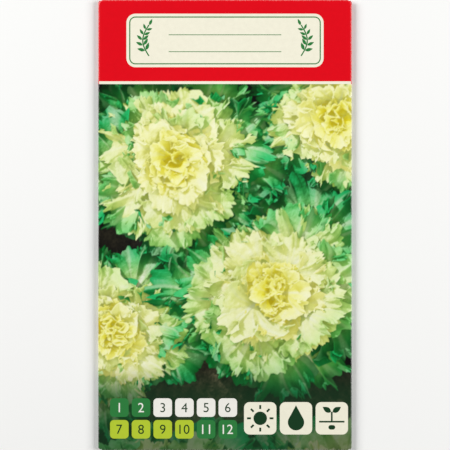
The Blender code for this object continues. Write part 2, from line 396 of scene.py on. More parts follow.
def add_object(name, data):
    """Puts a mesh, curve, lamp or camera into the scene."""
    made = bpy.data.objects.new(name, data)
    bpy.context.scene.collection.objects.link(made)
    return made


def add_piece(name, mesh):
    """Makes a finished mesh a smooth-shaded piece that rides with the packet."""
    mesh.shade_smooth()
    piece = add_object(name, mesh)
    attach(piece, "root")
    return piece


def thicken(piece, thickness):
    """Gives a sheet its thickness, half to each side."""
    modifier = piece.modifiers.new("thickness", "SOLIDIFY")
    modifier.thickness = thickness
    modifier.offset = 0
    return modifier


def make_envelope():
    """The folded sheet at a fine pitch, with its floods of ink on the outside and bare paper within."""
    lap_start, lap_end = BACK_MIDDLE - LAP_RISE_START, BACK_MIDDLE - LAP_RISE_END
    half = stations(0, FLAP_HALF_WIDTH) + spread(SIDE_REACH, SIDE_TURN_END, FOLD_CELLS)
    half += stations(BLEED_EDGE, lap_start) + spread(lap_start, lap_end, LAP_CELLS)[1:]
    half += stations(lap_end, BACK_MIDDLE + LAP_HALF_WIDTH)[1:]
    columns = both_sides(half)
    half = stations(0, BAND_FOOT, BACK_BAND_FOOT, WING_HALF_LENGTH)
    half += spread(END_REACH, END_TURN_END, FOLD_CELLS)
    half += stations(BLEED_END, END_TURN_END + FLAP_LENGTH)
    mesh, _, middles = sheet_part("envelope_sheet", columns, both_sides(half), FLOODS)
    mesh.polygons.foreach_set("material_index", [flood_at(*middle) for middle in middles])
    piece = add_piece("envelope_sheet", mesh)
    modifier = thicken(piece, PAPER)
    modifier.material_offset = BARE
    modifier.material_offset_rim = BARE
    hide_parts("envelope")


make_envelope()

# The printed picture, run off in four inks before the sheet is folded. It is a plain design, worked out in
# millimetres: a bed of frilly heads on dark soil is modelled, seen from straight above and printed point by
# point on a film that follows the paper round both side folds.

FAN_ROWS = 20
FAN_COLUMNS = 240
FAN_MIDDLE = 0.42
RIB_STATIONS = 64
GOLDEN_ANGLE = math.radians(137.508)
STUB_RADIUS = 6
STUB_LEVEL = 7

# How many cuts there are to each radian of a leaf's fan, and how many waves and veins to its whole turn. The
# cuts' depths are shares of the blade, and the waves' heights are shares of the margin's slack.
LOBES = 1.6
LOBE_DEPTH = 0.22
TEETH = 6.2
YOUNG_TOOTH_DEPTH = 0.12
OLD_TOOTH_DEPTH = 0.24
SMALL_TEETH = 15
SMALL_TOOTH_DEPTH = 0.13
SLACK_LENGTH = 1.15
WAVES = 2.6
WAVE_HEIGHT = 0.075
FRILLS = 8.5
FRILL_HEIGHT = 0.105
FRILL_SLIDE = 0.085
FRINGES = 23
YOUNG_FRINGE_HEIGHT = 0.034
OLD_FRINGE_HEIGHT = 0.050
VEINS = 17
BLISTER_SIZE = 2.6
BLISTER_HEIGHT = 1.8


def cloud(x, y, octaves):
    """Ripples on ripples, from 0 to 1."""
    total = 0
    weight = 0
    for k in range(octaves):
        total = total + ripple(x * 2**k + 17 * k, y * 2**k + 31 * k) / 2**k
        weight += 1 / 2**k
    return total / weight


def zigzag(place, low):
    """The height of a saw's edge, with one tooth to each unit, that leans over as low leaves the middle."""
    return np.abs(place % 1 - low)


def dot(first, second):
    return (first * second).sum(-1)


def unit(vectors):
    """The vectors at length 1. One that has no length stays so."""
    return vectors / (np.linalg.norm(vectors, axis=-1, keepdims=True) + 1e-9)


def fan_outline(turn, length, half_width):
    """How far the margin is from the fan's middle, in each direction round it from 0 at the leaf's tip."""
    tipward = np.cos(turn)
    long_axis = length * np.where(tipward > 0, 1 - FAN_MIDDLE, FAN_MIDDLE)
    short_axis = half_width * (1 - 0.45 * ease(-1.2 * tipward))
    return 1 / np.sqrt((tipward / long_axis) ** 2 + (np.sin(turn) / short_axis) ** 2)


def cut_depth(turn, wander, age, chance):
    """How deeply the margin is cut in each direction: lobes, teeth, and small teeth about the tip."""
    tooth_depth = mix(YOUNG_TOOTH_DEPTH, OLD_TOOTH_DEPTH, age)
    about_tip = ease(np.cos(turn) + 0.4)
    cut = LOBE_DEPTH * zigzag(wander * LOBES + chance[2], 0.42)
    cut = cut + tooth_depth * zigzag(wander * TEETH + chance[3], 0.35)
    return cut + SMALL_TOOTH_DEPTH * zigzag(wander * SMALL_TEETH + 5 * chance[3], 0.3) * about_tip


def ruffles(reach, turn, wander, age, length, chance):
    """How far the slack in the margin lifts the blade off its fan, and how far it slides it round."""
    slack = SLACK_LENGTH * length * ease((np.cos(turn) + 1) / 0.7)
    wave = np.sin(WAVES * wander + math.tau * chance[4])
    frill_turn = FRILLS * wander + math.tau * chance[5] + 1.3 * wave
    fringe = np.sin(FRINGES * wander + math.tau * chance[6] + 1.8 * np.sin(frill_turn))
    lift = slack * (WAVE_HEIGHT * wave * reach**1.4 + FRILL_HEIGHT * np.sin(frill_turn) * reach**2.4)
    lift = lift + slack * mix(YOUNG_FRINGE_HEIGHT, OLD_FRINGE_HEIGHT, age) * fringe * reach**4
    return lift, slack * FRILL_SLIDE * np.cos(frill_turn) * reach**3


def along_rib(share, length, rise, curl):
    """How far out and up a leaf's midrib is at each share of its length, and its slope there."""
    shares = np.linspace(0, 1, RIB_STATIONS)
    slopes = rise - curl * shares**1.4
    step = length / (RIB_STATIONS - 1)
    outward = np.interp(share, shares, np.append(0, np.cumsum(np.cos(slopes[:-1]) * step)))
    upward = np.interp(share, shares, np.append(0, np.cumsum(np.sin(slopes[:-1]) * step)))
    past_tip = np.maximum(0, share - 1) * length
    outward = outward + past_tip * math.cos(slopes[-1])
    upward = upward + past_tip * math.sin(slopes[-1])
    return outward, upward, np.interp(share, shares, slopes)


def make_leaf(age, heading, centre, longest, draw):
    """One leaf, spread like a fan from a point on its midrib: its points, and its traits at each of them.

    Age is 1 for the outermost leaf and 0 for the youngest. The margin is longer than the blade can hold flat,
    so it ruffles in waves upon waves. The midrib rises steeply in the heart and lies low at the rim.
    The fan's spokes are closest together towards its tip, where its fine teeth are. The traits are reach,
    age, tint, rib, vein and the way that the blade faces.
    """
    spoke = np.linspace(-1, 1, FAN_COLUMNS)
    reach, turn = np.meshgrid(
        np.linspace(0, 1, FAN_ROWS) ** 0.8, math.pi * (0.5 * spoke + 0.5 * spoke**3), indexing="ij"
    )
    chance = draw.uniform(0, 1, 10)
    length = mix(13, longest, age**0.85) * draw.uniform(0.86, 1.12)
    half_width = length * mix(0.58, 0.50, age) * draw.uniform(0.9, 1.12)

    wander = turn + 0.9 * (cloud(turn * 1.2 + 60 * chance[0], 40 * chance[1] + 0 * turn, 3) - 0.5)
    margin = fan_outline(turn, length, half_width) * (1 - cut_depth(turn, wander, age, chance) * reach**4)
    tipwards = margin * reach * np.cos(turn)
    sideways = margin * reach * np.sin(turn)
    lift, slide = ruffles(reach, turn, wander, age, length, chance)
    blister = cloud(tipwards / BLISTER_SIZE + 40 * chance[7], sideways / BLISTER_SIZE + 40 * chance[8], 4)
    lift = lift + BLISTER_HEIGHT * (blister - 0.5) * ease(reach * 2)
    share = (FAN_MIDDLE * length + tipwards - slide * np.sin(turn)) / length
    side = sideways + slide * np.cos(turn)

    rise = math.radians(mix(93, 20, age**0.7) + draw.uniform(-13, 13) * mix(1.5, 0.6, age))
    curl = math.radians(mix(-5, 46, ease(age / 0.4)) + draw.uniform(-32, 26) * mix(1.3, 0.8, age))
    outward, upward, slope = along_rib(share, length, rise, curl)
    cup = math.pi / 2 * mix(0.75, 0.15, age**0.7)
    off_rib = lift + half_width * (1 - np.cos(cup * side / half_width)) / cup
    x = outward - np.sin(slope) * off_rib
    y = half_width * np.sin(cup * side / half_width) / cup
    z = mix(STUB_LEVEL, 0.5, age**0.6) + upward + np.cos(slope) * off_rib

    foot = mix(0.3, 3.0, age)
    twist = heading + math.radians(draw.uniform(-25, 25)) * mix(1, 0.4, age)
    right = centre[0] + foot * math.cos(heading) + x * math.cos(twist) - y * math.sin(twist)
    up = centre[1] + foot * math.sin(heading) + x * math.sin(twist) + y * math.cos(twist)
    points = np.stack((right, up, z), -1)
    rib_width = mix(0.9, 1.7, age) * np.clip(1.15 - share, 0.1, 1)
    rib = np.exp(-((side / rib_width) ** 2)) * ease((0.9 - share) / 0.5)
    vein = ease((np.cos(wander * VEINS + math.tau * chance[9]) - 0.55) / 0.45)
    vein = vein * ease(reach * 4) * (1 - 0.6 * reach)
    normal = unit(np.cross(np.gradient(points, axis=0), np.gradient(points, axis=1)))
    traits = np.stack(np.broadcast_arrays(reach, age, draw.uniform(), rib, vein), -1)
    return points, np.concatenate((traits, normal), -1)


def make_stub(centre):
    """The pale stub that a head's youngest leaves stand on, with traits as a leaf has."""
    reach, turn = np.meshgrid(
        np.linspace(0, STUB_RADIUS, FAN_ROWS), np.linspace(0, math.tau, FAN_COLUMNS), indexing="ij"
    )
    level = np.full_like(turn, STUB_LEVEL)
    points = np.stack((centre[0] + reach * np.cos(turn), centre[1] + reach * np.sin(turn), level), -1)
    return points, np.broadcast_to((0.5, 0.1, 0.5, 0, 0, 0, 0, 1), (*turn.shape, 8))


def make_bed():
    """Six heads, four of them cut off by the picture's edges. Leaves turn by the golden angle round each.

    A head is given by its place, the length of its outermost leaf and its number of leaves.
    """
    draw = np.random.default_rng(3)
    quads = np.array(grid_faces((FAN_ROWS, FAN_COLUMNS)))
    triangles = np.concatenate((quads[:, (0, 3, 2)], quads[:, (0, 2, 1)]))
    points, traits, faces = [], [], []
    cut_off = ((-20, -104), 44, 36), ((36, -102), 44, 36), ((-40, -38), 36, 36), ((40, 38), 36, 36)
    whole = ((-17, 22), 43, 46), ((17, -24), 45, 46)
    for centre, longest, leaves in cut_off + whole:
        blades = [make_stub(centre)]
        for k in range(leaves):
            heading = k * GOLDEN_ANGLE + draw.uniform(-0.3, 0.3)
            blades.append(make_leaf(1 - k / (leaves - 1), heading, centre, longest, draw))
        for blade, blade_traits in blades:
            faces.append(triangles + len(points) * FAN_ROWS * FAN_COLUMNS)
            points.append(blade.reshape(-1, 3))
            traits.append(blade_traits.reshape(FAN_ROWS * FAN_COLUMNS, -1))
    return np.concatenate(points), np.concatenate(traits), np.concatenate(faces)


def seen_from_above(points, faces, xs, ys):
    """For each place of the picture, which triangle is uppermost there, or -1, and where it is seen."""
    tree = BVHTree.FromPolygons(points.tolist(), faces.tolist(), all_triangles=True)
    above = points[:, 2].max() + 1
    seen = np.full((len(ys), len(xs)), -1)
    where = np.zeros((len(ys), len(xs), 3))
    for j, y in enumerate(ys):
        for i, x in enumerate(xs):
            place, _, face, _ = tree.ray_cast((x, y, above), (0, 0, -1))
            if face is not None:
                seen[j, i] = face
                where[j, i] = place
    return seen, where


def traits_seen(seen, where, points, traits, faces):
    """The traits at the places that are seen, blended from the corners of each one's triangle."""
    corners = faces[np.maximum(seen, 0)]
    first, second, third = (points[corners[..., k]] for k in range(3))
    side, rise, inside = second - first, third - first, where - first
    side_side, side_rise, rise_rise = dot(side, side), dot(side, rise), dot(rise, rise)
    inside_side, inside_rise = dot(inside, side), dot(inside, rise)
    area = side_side * rise_rise - side_rise * side_rise + 1e-12
    second_share = ((rise_rise * inside_side - side_rise * inside_rise) / area)[..., None]
    third_share = ((side_side * inside_rise - side_rise * inside_side) / area)[..., None]
    found = traits[corners[..., 0]] * (1 - second_share - third_share)
    return found + traits[corners[..., 1]] * second_share + traits[corners[..., 2]] * third_share


def facing(height, pitch):
    """Which way a relief faces at each place."""
    down_y, down_x = np.gradient(height, pitch)
    return unit(np.stack((-down_x, -down_y, np.ones_like(down_x)), -1))


SUN = unit(np.array((-0.45, 0.55, 0.70)))
STRAIGHT_UP = np.array((0, 0, 1))
SUNWARDS = np.geomspace(0.25, 30, 40)
SKY_HEADINGS = np.arange(16) * math.tau / 16 + 0.2
SKYWARDS = 0.5, 1.0, 1.8, 3, 5, 8, 13


def moved(height, pitch, right, up):
    """A relief's height as it is to the right of each place and up from it by these distances."""
    return np.roll(height, (-round(up / pitch), -round(right / pitch)), (0, 1))


def open_sky(height, pitch):
    """The share of the sky that each place of a relief sees."""
    total = np.zeros_like(height)
    for heading in SKY_HEADINGS:
        steepest = np.zeros_like(height)
        for reach in SKYWARDS:
            beyond = moved(height, pitch, math.cos(heading) * reach, math.sin(heading) * reach)
            steepest = np.maximum(steepest, (beyond - height) / reach)
        total += 1 - steepest / np.sqrt(1 + steepest**2)
    return total / len(SKY_HEADINGS)


def sunlit(height, pitch):
    """1 where the sun reaches a relief, and 0 in shadow."""
    level = math.hypot(SUN[0], SUN[1])
    shade = np.zeros_like(height)
    for reach in SUNWARDS:
        beyond = moved(height, pitch, SUN[0] / level * reach, SUN[1] / level * reach)
        over = beyond - height - reach * SUN[2] / level
        shade = np.maximum(shade, ease(over / (0.15 + 0.12 * reach)))
    return 1 - shade


def blade_colour(reach, age, tint, rib, vein):
    """A leaf's own colour: lemon in the heart, paler outwards, deep green at the rim, with light ribs."""
    edge = ease((reach - 0.25) / 0.75)
    outer = ease((age - 0.52) / 0.32)

    def towards(colour, code, share):
        return mix(colour, linear(code), share[..., None])

    colour = towards(linear("#F5E22A"), "#F9F37A", 0.9 * edge)
    colour = towards(colour, "#F3F694", ease((age - 0.12) / 0.28))
    colour = towards(colour, "#BFE67C", ease((age - 0.30) / 0.32) * (0.25 + 0.75 * edge))
    colour = towards(colour, "#4CC060", outer * (0.45 + 0.55 * edge))
    colour = towards(colour, "#14964A", outer * ease((age - 0.58) / 0.3) * (0.35 + 0.65 * edge))
    colour = towards(colour, "#0A6F38", outer * ease((age - 0.74) / 0.26) * edge * (0.3 + 0.7 * tint))
    return towards(colour, "#EDF6CC", np.clip(0.7 * rib * ease(2 * age) + 0.28 * vein, 0, 1))


CRINKLE_SIZE = 1.1
CRINKLE_DEPTH = 0.38
BLOTCH_SIZE = 2.2
CLOD_SIZE = 3
CLOD_HEIGHT = 3
GRIT_SIZE = 0.55
EARTH = "#46412F"
EXPOSURE = 2.1
SHADE_TOP = -48
SHADE_DEPTH = 14


def light_off_leaves(x, y, pitch, found, lit, sky):
    """The light that the leaves send up, off their faces, through their blades and off their gloss."""
    relief = CRINKLE_DEPTH * cloud(x / CRINKLE_SIZE + 70, y / CRINKLE_SIZE + 20, 3)
    normal = found[..., -3:] * np.where(found[..., -1:] < 0, -1, 1) + facing(relief, pitch) - STRAIGHT_UP
    normal = unit(normal)
    age = found[..., 1]
    light = 0.95 * np.clip(dot(normal, SUN), 0, 1) * lit + 0.80 * sky**1.5 + 0.04
    light = light ** mix(0.55, 0.85, age)
    through = mix(0.60, 0.20, ease(age / 0.7)) * (0.35 + 0.65 * sky)
    shine = 0.07 * np.clip(dot(normal, unit(SUN + STRAIGHT_UP)), 0, 1) ** 22 * lit
    blotches = 0.86 + 0.28 * cloud(x / BLOTCH_SIZE + 5, y / BLOTCH_SIZE, 3)
    leaf = blade_colour(*(found[..., k] for k in range(5))) * blotches[..., None]
    leaf = leaf ** (1 + 0.5 * np.clip(1 - light, 0, 1))[..., None]
    return leaf * light[..., None] + leaf**1.5 * through[..., None] + shine[..., None]


def light_off_soil(x, y, pitch, clods, lit, sky):
    """The light that the soil between the heads sends up, which is dark between its clods and grit."""
    grit = cloud(x / GRIT_SIZE + 9, y / GRIT_SIZE, 3)
    normal = facing(CLOD_HEIGHT * clods, pitch)
    light = 1.1 * np.clip(dot(normal, SUN), 0, 1) * lit + 0.8 * sky
    return linear(EARTH) * (0.1 + 2.4 * grit * clods)[..., None] * light[..., None]


def paint_picture(xs, ys):
    """The picture's linear colours on a grid of places. Its foot is printed dark, behind the calendar."""
    points, traits, faces = make_bed()
    seen, where = seen_from_above(points, faces, xs, ys)
    found = traits_seen(seen, where, points, traits, faces)
    pitch = (xs[-1] - xs[0]) / (len(xs) - 1)
    x, y = np.meshgrid(xs, ys)
    clods = cloud(x / CLOD_SIZE, y / CLOD_SIZE, 5)
    relief = np.where(seen >= 0, where[..., 2], CLOD_HEIGHT * (clods - 1))
    sky = open_sky(relief, pitch)
    lit = sunlit(relief, pitch)
    leaves = light_off_leaves(x, y, pitch, found, lit, sky)
    soil = light_off_soil(x, y, pitch, clods, lit, sky)
    picture = 1 - np.exp(-EXPOSURE * np.where(seen[..., None] >= 0, leaves, soil))
    shade = ease((SHADE_TOP - y) / SHADE_DEPTH)[..., None]
    return mix(picture, 0.20 * picture + 0.60 * linear(DEEP_GREEN), shade)


PICTURE_PITCH = 0.23 * MM
FINER = 2
PICTURE_OUT = 0.058 * MM
PICTURE_FOLD_CELLS = 8
PICTURE_PARTS = 3
PICTURE_COLUMNS = math.ceil(2 * BLEED_EDGE / PICTURE_PITCH) + 1
PICTURE_ROWS = math.ceil((BAND_FOOT + BLEED_END) / PICTURE_PITCH) + 1

fine_xs = np.linspace(-BLEED_EDGE, BLEED_EDGE, PICTURE_COLUMNS * FINER) / MM
fine_ys = np.linspace(-BLEED_END, BAND_FOOT, PICTURE_ROWS * FINER) / MM
painted = paint_picture(fine_xs, fine_ys)
painted = painted.reshape(PICTURE_ROWS, FINER, PICTURE_COLUMNS, FINER, 3).mean((1, 3))
picture_ink = art_paper("four_colour_print_on_art_paper")


def picture_at(across, along):
    """The painted picture's colours at places on the sheet."""
    column = np.clip((across / BLEED_EDGE + 1) / 2 * PICTURE_COLUMNS - 0.5, 0, PICTURE_COLUMNS - 1.001)
    row = (along + BLEED_END) / (BAND_FOOT + BLEED_END) * PICTURE_ROWS - 0.5
    row = np.clip(row, 0, PICTURE_ROWS - 1.001)
    i, j = column.astype(int), row.astype(int)
    right, up = (column - i)[..., None], (row - j)[..., None]
    lower = mix(painted[j, i], painted[j, i + 1], right)
    upper = mix(painted[j + 1, i], painted[j + 1, i + 1], right)
    return mix(lower, upper, up)


def make_picture(name, xs, ys):
    """A part of the picture, as a film on the paper."""
    mesh, places, _ = sheet_part(name, xs, ys, [picture_ink], PICTURE_OUT)
    colours = np.ones((len(places), 4))
    colours[:, :3] = picture_at(*places.T)
    layer = mesh.color_attributes.new("print", "FLOAT_COLOR", "POINT")
    layer.data.foreach_set("color", colours.ravel())
    add_piece(name, mesh)


half = stations(0, FLAP_HALF_WIDTH, SIDE_REACH, cell=PICTURE_PITCH)
half += spread(SIDE_REACH, SIDE_TURN_END, PICTURE_FOLD_CELLS)[1:] + [BLEED_EDGE]
picture_xs = both_sides(half)
below = stations(0, WING_HALF_LENGTH, END_REACH, cell=PICTURE_PITCH)
below += spread(END_REACH, END_TURN_END, PICTURE_FOLD_CELLS)[1:] + [BLEED_END]
picture_ys = [-along for along in reversed(below)] + stations(0, BAND_FOOT, cell=PICTURE_PITCH)[1:]
seams = [round(k * (len(picture_ys) - 1) / PICTURE_PARTS) for k in range(PICTURE_PARTS + 1)]
for part, (foot, top) in enumerate(zip(seams, seams[1:])):
    make_picture(f"picture_part_{part + 1}", picture_xs, picture_ys[foot : top + 1])

# The front's plain printing, in millimetres: a blank label on the red band, a rule below it, and on the dark
# foot of the picture a calendar of twelve numbered squares and three growing symbols. Each ink is a thin film
# over the paper.

FILM_CELL = 1.25
SLIT = 0.001
HAIRLINE = 0.25
FIRST_INK = 0.064 * MM
SECOND_INK = 0.070 * MM
THIRD_INK = 0.076 * MM


def back_of_sheet(x, y, out):
    """Where a place on the back is. x is to the right as seen from behind, where one wing laps the other."""
    on_lap = x <= LAP_HALF_WIDTH
    from_middle = BACK_MIDDLE + np.where(on_lap, x, -x)
    return folded(np.where(on_lap, from_middle, -from_middle), y, out)


def print_film(name, ink, shapes, out, place=folded):
    """A film of ink of these filled outlines, cut into small cells so that it follows the paper.

    On the back it is slit along the lap's free edge, where one wing ends on the other.
    """
    edited = bmesh.new()
    for shape in shapes:
        edited.faces.new([edited.verts.new((x, y, 0)) for x, y in shape])
    edited.normal_update()
    bmesh.ops.triangulate(edited, faces=edited.faces)
    reach = int(HEIGHT / MM / 2 / FILM_CELL)
    cuts_x = cuts_y = [k * FILM_CELL for k in range(-reach, reach + 1)]
    lap = LAP_HALF_WIDTH / MM
    if place is back_of_sheet:
        cuts_x = cuts_x + [lap] + spread(LAP_RISE_END / MM, LAP_RISE_START / MM, LAP_CELLS)
    for normal, cuts in ((Vector((1, 0, 0)), cuts_x), (Vector((0, 1, 0)), cuts_y)):
        for cut in cuts:
            parts = list(edited.verts) + list(edited.edges) + list(edited.faces)
            bmesh.ops.bisect_plane(edited, geom=parts, dist=1e-4, plane_co=normal * cut, plane_no=normal)
    if place is back_of_sheet:
        at_lap = [edge for edge in edited.edges if all(abs(vert.co.x - lap) < SLIT for vert in edge.verts)]
        bmesh.ops.split_edges(edited, edges=at_lap)
        for vert in edited.verts:
            if vert.link_faces and abs(vert.co.x - lap) < SLIT:
                vert.co.x += math.copysign(SLIT, vert.link_faces[0].calc_center_median().x - lap)
    verts = list(edited.verts)
    flat = np.array([vert.co for vert in verts]) * MM
    for vert, point in zip(verts, place(flat[:, 0], flat[:, 1], out)):
        vert.co = point
    mesh = bpy.data.meshes.new(name)
    edited.to_mesh(mesh)
    edited.free()
    mesh.materials.append(ink)
    add_piece(name, mesh)


def arc(x, y, radius, start, end, steps=8):
    """Points round an arc, from start to end in degrees."""
    angles = [math.radians(mix(start, end, k / steps)) for k in range(steps + 1)]
    return [(x + radius * math.cos(angle), y + radius * math.sin(angle)) for angle in angles]


def plate(x, y, width, height, radius=0.0):
    """A rectangle centred on x and y, with round corners if it has a radius."""
    dx, dy = width / 2 - radius, height / 2 - radius
    corners = ((dx, dy), (-dx, dy), (-dx, -dy), (dx, -dy))
    if radius == 0:
        return [(x + cx, y + cy) for cx, cy in corners]
    points = []
    for k, (cx, cy) in enumerate(corners):
        points += arc(x + cx, y + cy, radius, 90 * k, 90 * k + 90)
    return points


def plate_line(x, y, width, height, radius, line):
    """A line round the inside of a round-cornered plate's edge."""
    outer = plate(x, y, width, height, radius)
    inner = plate(x, y, width - 2 * line, height - 2 * line, radius - line)
    count = len(outer)
    return [[outer[k], outer[(k + 1) % count], inner[(k + 1) % count], inner[k]] for k in range(count)]


def stroke(points, width):
    """A line of even width through points."""
    left, right = [], []
    for k, (x, y) in enumerate(points):
        x0, y0 = points[max(0, k - 1)]
        x1, y1 = points[min(len(points) - 1, k + 1)]
        length = math.hypot(x1 - x0, y1 - y0)
        aside_x, aside_y = (y0 - y1) / length * width / 2, (x1 - x0) / length * width / 2
        left.append((x + aside_x, y + aside_y))
        right.append((x - aside_x, y - aside_y))
    return right + left[::-1]


def leaflet(x, y, length, width, degrees):
    """A pointed oval leaf that grows from just beside a thin stem at x and y, and points to degrees."""
    turn = math.radians(degrees)
    half = [(0.35 + length * k / 8, width / 2 * math.sin(math.pi * (k / 8) ** 0.8)) for k in range(9)]
    outline = [(u, -v) for u, v in half] + [(u, v) for u, v in reversed(half[1:-1])]
    cosine, sine = math.cos(turn), math.sin(turn)
    return [(x + u * cosine - v * sine, y + u * sine + v * cosine) for u, v in outline]


def sprig(x, y, length, hand):
    """A curved stem with paired leaves, a printer's stock ornament. hand is 1 or -1, for right or left."""
    stem = [(x + hand * 2.2 * math.sin(math.pi * k / 12), y + length * (k / 12 - 0.5)) for k in range(13)]
    shapes = [stroke(stem, 0.45)]
    for k in (2, 4, 6, 8, 10):
        size = mix(3.0, 1.9, k / 12)
        (x0, y0), (x1, y1) = stem[k - 1], stem[k + 1]
        upwards = math.degrees(math.atan2(y1 - y0, x1 - x0))
        shapes += [leaflet(*stem[k], size, size * 0.42, upwards + aside) for aside in (-48, 48)]
    shapes.append(leaflet(x, y + length / 2 - 0.35, 2.4, 1.0, 90 + hand * 25))
    return shapes


def numeral(text, x, y, height):
    """A number in the plain built-in typeface, centred on x and y."""
    curve = bpy.data.curves.new("numeral", "FONT")
    curve.body = text
    guide = add_object("numeral", curve)
    mesh = bpy.data.meshes.new_from_object(guide.evaluated_get(bpy.context.evaluated_depsgraph_get()))
    flat = np.array([vert.co[:2] for vert in mesh.vertices])
    low, high = flat.min(0), flat.max(0)
    flat = (flat - (low + high) / 2) * height / (high[1] - low[1]) + (x, y)
    shapes = [[tuple(flat[k]) for k in face.vertices] for face in mesh.polygons]
    bpy.data.objects.remove(guide)
    bpy.data.curves.remove(curve)
    bpy.data.meshes.remove(mesh)
    return shapes


cream_ink = art_paper("cream_ink_film", CREAM)
white_ink = art_paper("white_ink_film", PAPER_WHITE)
lime_ink = art_paper("lime_ink_film", LIME)
leaf_ink = art_paper("leaf_green_ink_film", LEAF_GREEN)
deep_ink = art_paper("deep_green_ink_film", DEEP_GREEN)

RULE = 1.0
band_rule = plate(0, BAND_FOOT / MM + RULE / 2, 2 * SIDE_REACH / MM, RULE)
print_film("band_rule", cream_ink, [band_rule], FIRST_INK)

LABEL_Y = 65.5
LABEL_WIDTH = 70
LABEL_HEIGHT = 19
LABEL_RADIUS = 3.2
label = plate(0, LABEL_Y, LABEL_WIDTH, LABEL_HEIGHT, LABEL_RADIUS)
print_film("label_plate", cream_ink, [label], FIRST_INK)
label_marks = plate_line(0, LABEL_Y, LABEL_WIDTH - 2, LABEL_HEIGHT - 2, LABEL_RADIUS - 1, 0.4)
label_marks += [plate(0, LABEL_Y + step, 40, HAIRLINE) for step in (-4, 2)]
label_marks += sprig(-27, LABEL_Y, 11, -1) + sprig(27, LABEL_Y, 11, 1)
print_film("label_marks", leaf_ink, label_marks, SECOND_INK)

MONTH_SIZE = 6.6
MONTH_PITCH = 7.7
MONTH_RADIUS = 1.4
NUMERAL_HEIGHT = 3.3
FIRST_MONTH_X = -37.5
FIRST_MONTH_Y = -64.8
SOWING_MONTHS = (3, 4, 5, 6)
HARVEST_MONTHS = (7, 8, 9, 10)
sowing, harvest, resting, dark_numbers, light_numbers = [], [], [], [], []
for month in range(1, 13):
    month_x = FIRST_MONTH_X + MONTH_PITCH * ((month - 1) % 6)
    month_y = FIRST_MONTH_Y - MONTH_PITCH * ((month - 1) // 6)
    squares, numbers = resting, light_numbers
    if month in SOWING_MONTHS:
        squares, numbers = sowing, dark_numbers
    if month in HARVEST_MONTHS:
        squares, numbers = harvest, dark_numbers
    squares.append(plate(month_x, month_y, MONTH_SIZE, MONTH_SIZE, MONTH_RADIUS))
    numbers += numeral(str(month), month_x, month_y, NUMERAL_HEIGHT)
print_film("sowing_squares", white_ink, sowing, FIRST_INK)
print_film("harvest_squares", lime_ink, harvest, FIRST_INK)
print_film("resting_squares", leaf_ink, resting, FIRST_INK)
print_film("dark_numbers", deep_ink, dark_numbers, SECOND_INK)
print_film("light_numbers", white_ink, light_numbers, SECOND_INK)

TILE_SIZE = 11.5
TILE_Y = -68.6
SUN_X = 12.5
DROP_X = 25.2
SEEDLING_X = 37.9
tiles = [plate(x, TILE_Y, TILE_SIZE, TILE_SIZE, 2) for x in (SUN_X, DROP_X, SEEDLING_X)]
print_film("symbol_tiles", cream_ink, tiles, FIRST_INK)

symbols = [arc(SUN_X, TILE_Y, 2.4, 0, 360, 32)[:-1]]
for degrees in range(0, 360, 45):
    ray = (arc(SUN_X, TILE_Y, reach, degrees, degrees, 1)[0] for reach in (3.3, 4.7))
    symbols.append(stroke(list(ray), 0.7))
symbols.append(arc(DROP_X, TILE_Y - 1.4, 2.9, -200, 20, 24) + [(DROP_X, TILE_Y + 4.6)])
ground_y = TILE_Y - 1.2
symbols.append(plate(SEEDLING_X, ground_y, 9, 0.6))
symbols.append(plate(SEEDLING_X, ground_y + 1.9, 0.6, 3.2))
symbols += [leaflet(SEEDLING_X, ground_y + 3.2, 3.5, 1.9, degrees) for degrees in (32, 148)]
symbols.append(plate(SEEDLING_X, ground_y - 2, 2.4, 1.6, 0.79))
print_film("symbols", deep_ink, symbols, SECOND_INK)

# The back's plain printing, on both wings and cut where one laps the other: a write-on panel, a strip that
# shows a plant growing from seed, and ruled lines for notes, in greens, brown and white on cream.

BACK_WIDTH = 78
BACK_RADIUS = 2.5
PANEL_Y = 45
PANEL_HEIGHT = 15
LINES = 8
FIRST_LINE_Y = -12
LINE_PITCH = 5.6
panel = plate(0, PANEL_Y, BACK_WIDTH, PANEL_HEIGHT, BACK_RADIUS)
print_film("back_panel", white_ink, [panel], FIRST_INK, back_of_sheet)
back_marks = plate_line(0, PANEL_Y, BACK_WIDTH, PANEL_HEIGHT, BACK_RADIUS, 0.5)
back_marks += [plate(0, PANEL_Y + step, BACK_WIDTH - 10, HAIRLINE) for step in (-3.3, 1.9)]
back_marks += [plate(0, FIRST_LINE_Y - LINE_PITCH * line, BACK_WIDTH, HAIRLINE) for line in range(LINES)]
print_film("back_marks", leaf_ink, back_marks, SECOND_INK, back_of_sheet)


def tuft(x, y, size, leaves):
    """A tuft of pointed leaves that spreads from x and y."""
    outline = [(x, y)]
    for k in range(12 * leaves + 1):
        reach = size * (0.45 + 0.55 * abs(math.sin(math.pi * k / 12)) ** 0.8)
        outline += arc(x, y, reach, mix(12, 168, k / (12 * leaves)), 0, 1)[:1]
    return outline


earth_ink = art_paper("brown_ink_film", "#6B4A2E")
pale_ink = art_paper("pale_green_ink_film", "#CFE0B4")
SOIL_LINE = 10
garden_tile = plate(0, SOIL_LINE + 4, BACK_WIDTH, 28, BACK_RADIUS)
print_film("garden_tile", pale_ink, [garden_tile], FIRST_INK, back_of_sheet)
soil_bed = plate(0, SOIL_LINE - 4, BACK_WIDTH, 8, 1.2)
print_film("soil_bed", earth_ink, [soil_bed], SECOND_INK, back_of_sheet)
plants = []
for plant_x, size, leaves in ((-20, 3.2, 2), (-7, 5.8, 4), (9, 8.0, 6), (28, 10.4, 8)):
    plants.append(plate(plant_x, SOIL_LINE + 0.12 * size, 0.7, 0.24 * size))
    plants.append(tuft(plant_x, SOIL_LINE + 0.24 * size, size, leaves))
print_film("growing_row", leaf_ink, plants, SECOND_INK, back_of_sheet)
sown_seed = plate(-31, SOIL_LINE - 3.5, 2.2, 1.5, 0.74)
